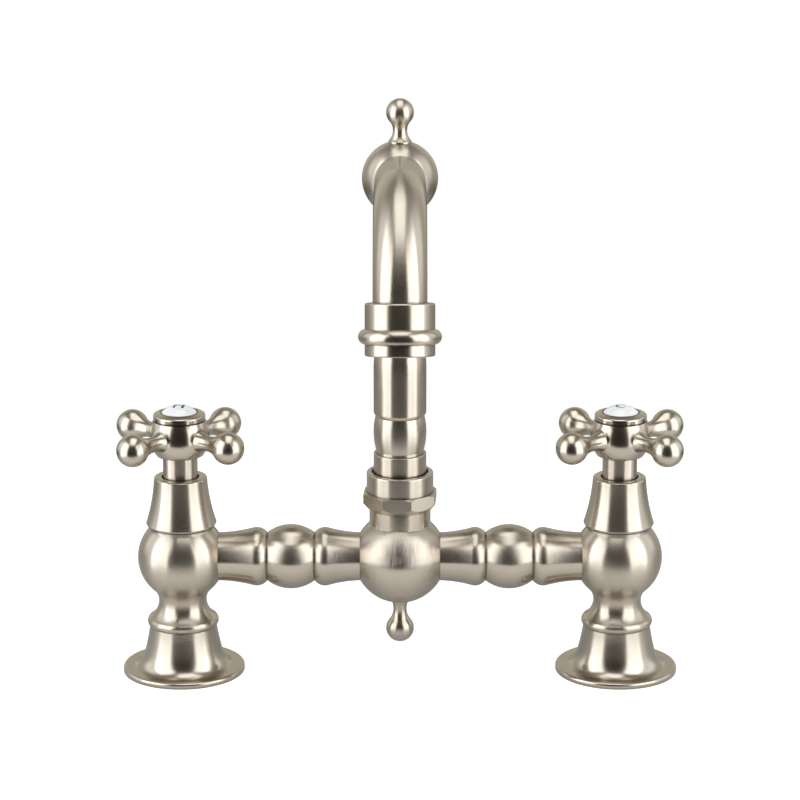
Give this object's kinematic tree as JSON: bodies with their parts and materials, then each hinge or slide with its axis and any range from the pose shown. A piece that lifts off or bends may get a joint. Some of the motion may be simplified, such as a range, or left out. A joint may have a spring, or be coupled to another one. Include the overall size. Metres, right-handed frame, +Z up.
{
  "type": "bridge kitchen faucet",
  "caption": "Deck-mounted bridge faucet with cross handles and a swivelling spout on the bridge's centre ball, in satin nickel.",
  "frame": {"origin": "on the deck surface, midway between the two valve axes", "axes": "+Z up, +X from the hot valve to the cold valve, the user and the spout's outlet on the -Y side"},
  "size_m": [0.265, 0.1573, 0.3288],
  "materials": {
    "satin_nickel": "satin",
    "polished_nickel": "polished",
    "brass": "machined",
    "stainless_steel": "satin",
    "black_rubber": "matte",
    "alumina": "matte",
    "porcelain": "gloss",
    "white_acetal": "satin"
  },
  "bodies": {
    "body": {"hot_escutcheon": "satin_nickel", "hot_valve_body": "satin_nickel", "hot_bonnet": "satin_nickel", "hot_shank": "brass", "hot_deck_nut": "brass", "hot_cartridge": "brass", "hot_deck_washer": "black_rubber", "hot_seat_seal": "black_rubber", "hot_fixed_disc": "alumina", "cold_escutcheon": "satin_nickel", "cold_valve_body": "satin_nickel", "cold_bonnet": "satin_nickel", "cold_shank": "brass", "cold_deck_nut": "brass", "cold_cartridge": "brass", "cold_deck_washer": "black_rubber", "cold_seat_seal": "black_rubber", "cold_fixed_disc": "alumina", "left_outer_trumpet": "satin_nickel", "left_bridge_bead": "satin_nickel", "left_inner_trumpet": "satin_nickel", "right_outer_trumpet": "satin_nickel", "right_bridge_bead": "satin_nickel", "right_inner_trumpet": "satin_nickel", "centre_body": "satin_nickel", "swivel_nut": "satin_nickel", "low_finial": "satin_nickel", "slip_washer": "white_acetal"},
    "hot_handle": {"hot_spindle": "brass", "hot_moving_disc": "alumina", "hot_stem_seal": "black_rubber", "hot_stem_sleeve": "satin_nickel", "hot_handle_hub": "polished_nickel", "hot_handle_arms": "polished_nickel", "hot_handle_screw": "stainless_steel", "hot_index_ring": "polished_nickel", "hot_index_button": "porcelain"},
    "cold_handle": {"cold_spindle": "brass", "cold_moving_disc": "alumina", "cold_stem_seal": "black_rubber", "cold_stem_sleeve": "satin_nickel", "cold_handle_hub": "polished_nickel", "cold_handle_arms": "polished_nickel", "cold_handle_screw": "stainless_steel", "cold_index_ring": "polished_nickel", "cold_index_button": "porcelain"},
    "spout": {"spout_base": "satin_nickel", "spout_riser": "satin_nickel", "spout_ball": "satin_nickel", "spout_tube": "satin_nickel", "top_finial": "satin_nickel", "outlet_housing": "satin_nickel", "spout_seals": "black_rubber", "retaining_ring": "white_acetal", "aerator_washer": "black_rubber", "aerator_shell": "brass", "aerator_screen": "stainless_steel"}
  },
  "joints": [
    {"name": "hot_handle_turn", "type": "hinge", "parent": "body", "child": "hot_handle", "pos_m": [-0.1016, 0, 0.11347], "axis": [0, 0, 1], "range_deg": [0, 90]},
    {"name": "cold_handle_turn", "type": "hinge", "parent": "body", "child": "cold_handle", "pos_m": [0.1016, 0, 0.11347], "axis": [0, 0, 1], "range_deg": [-90, 0]},
    {"name": "spout_swivel", "type": "hinge", "parent": "body", "child": "spout", "pos_m": [0, 0, 0.0915], "axis": [0, 0, 1], "continuous": true}
  ]
}
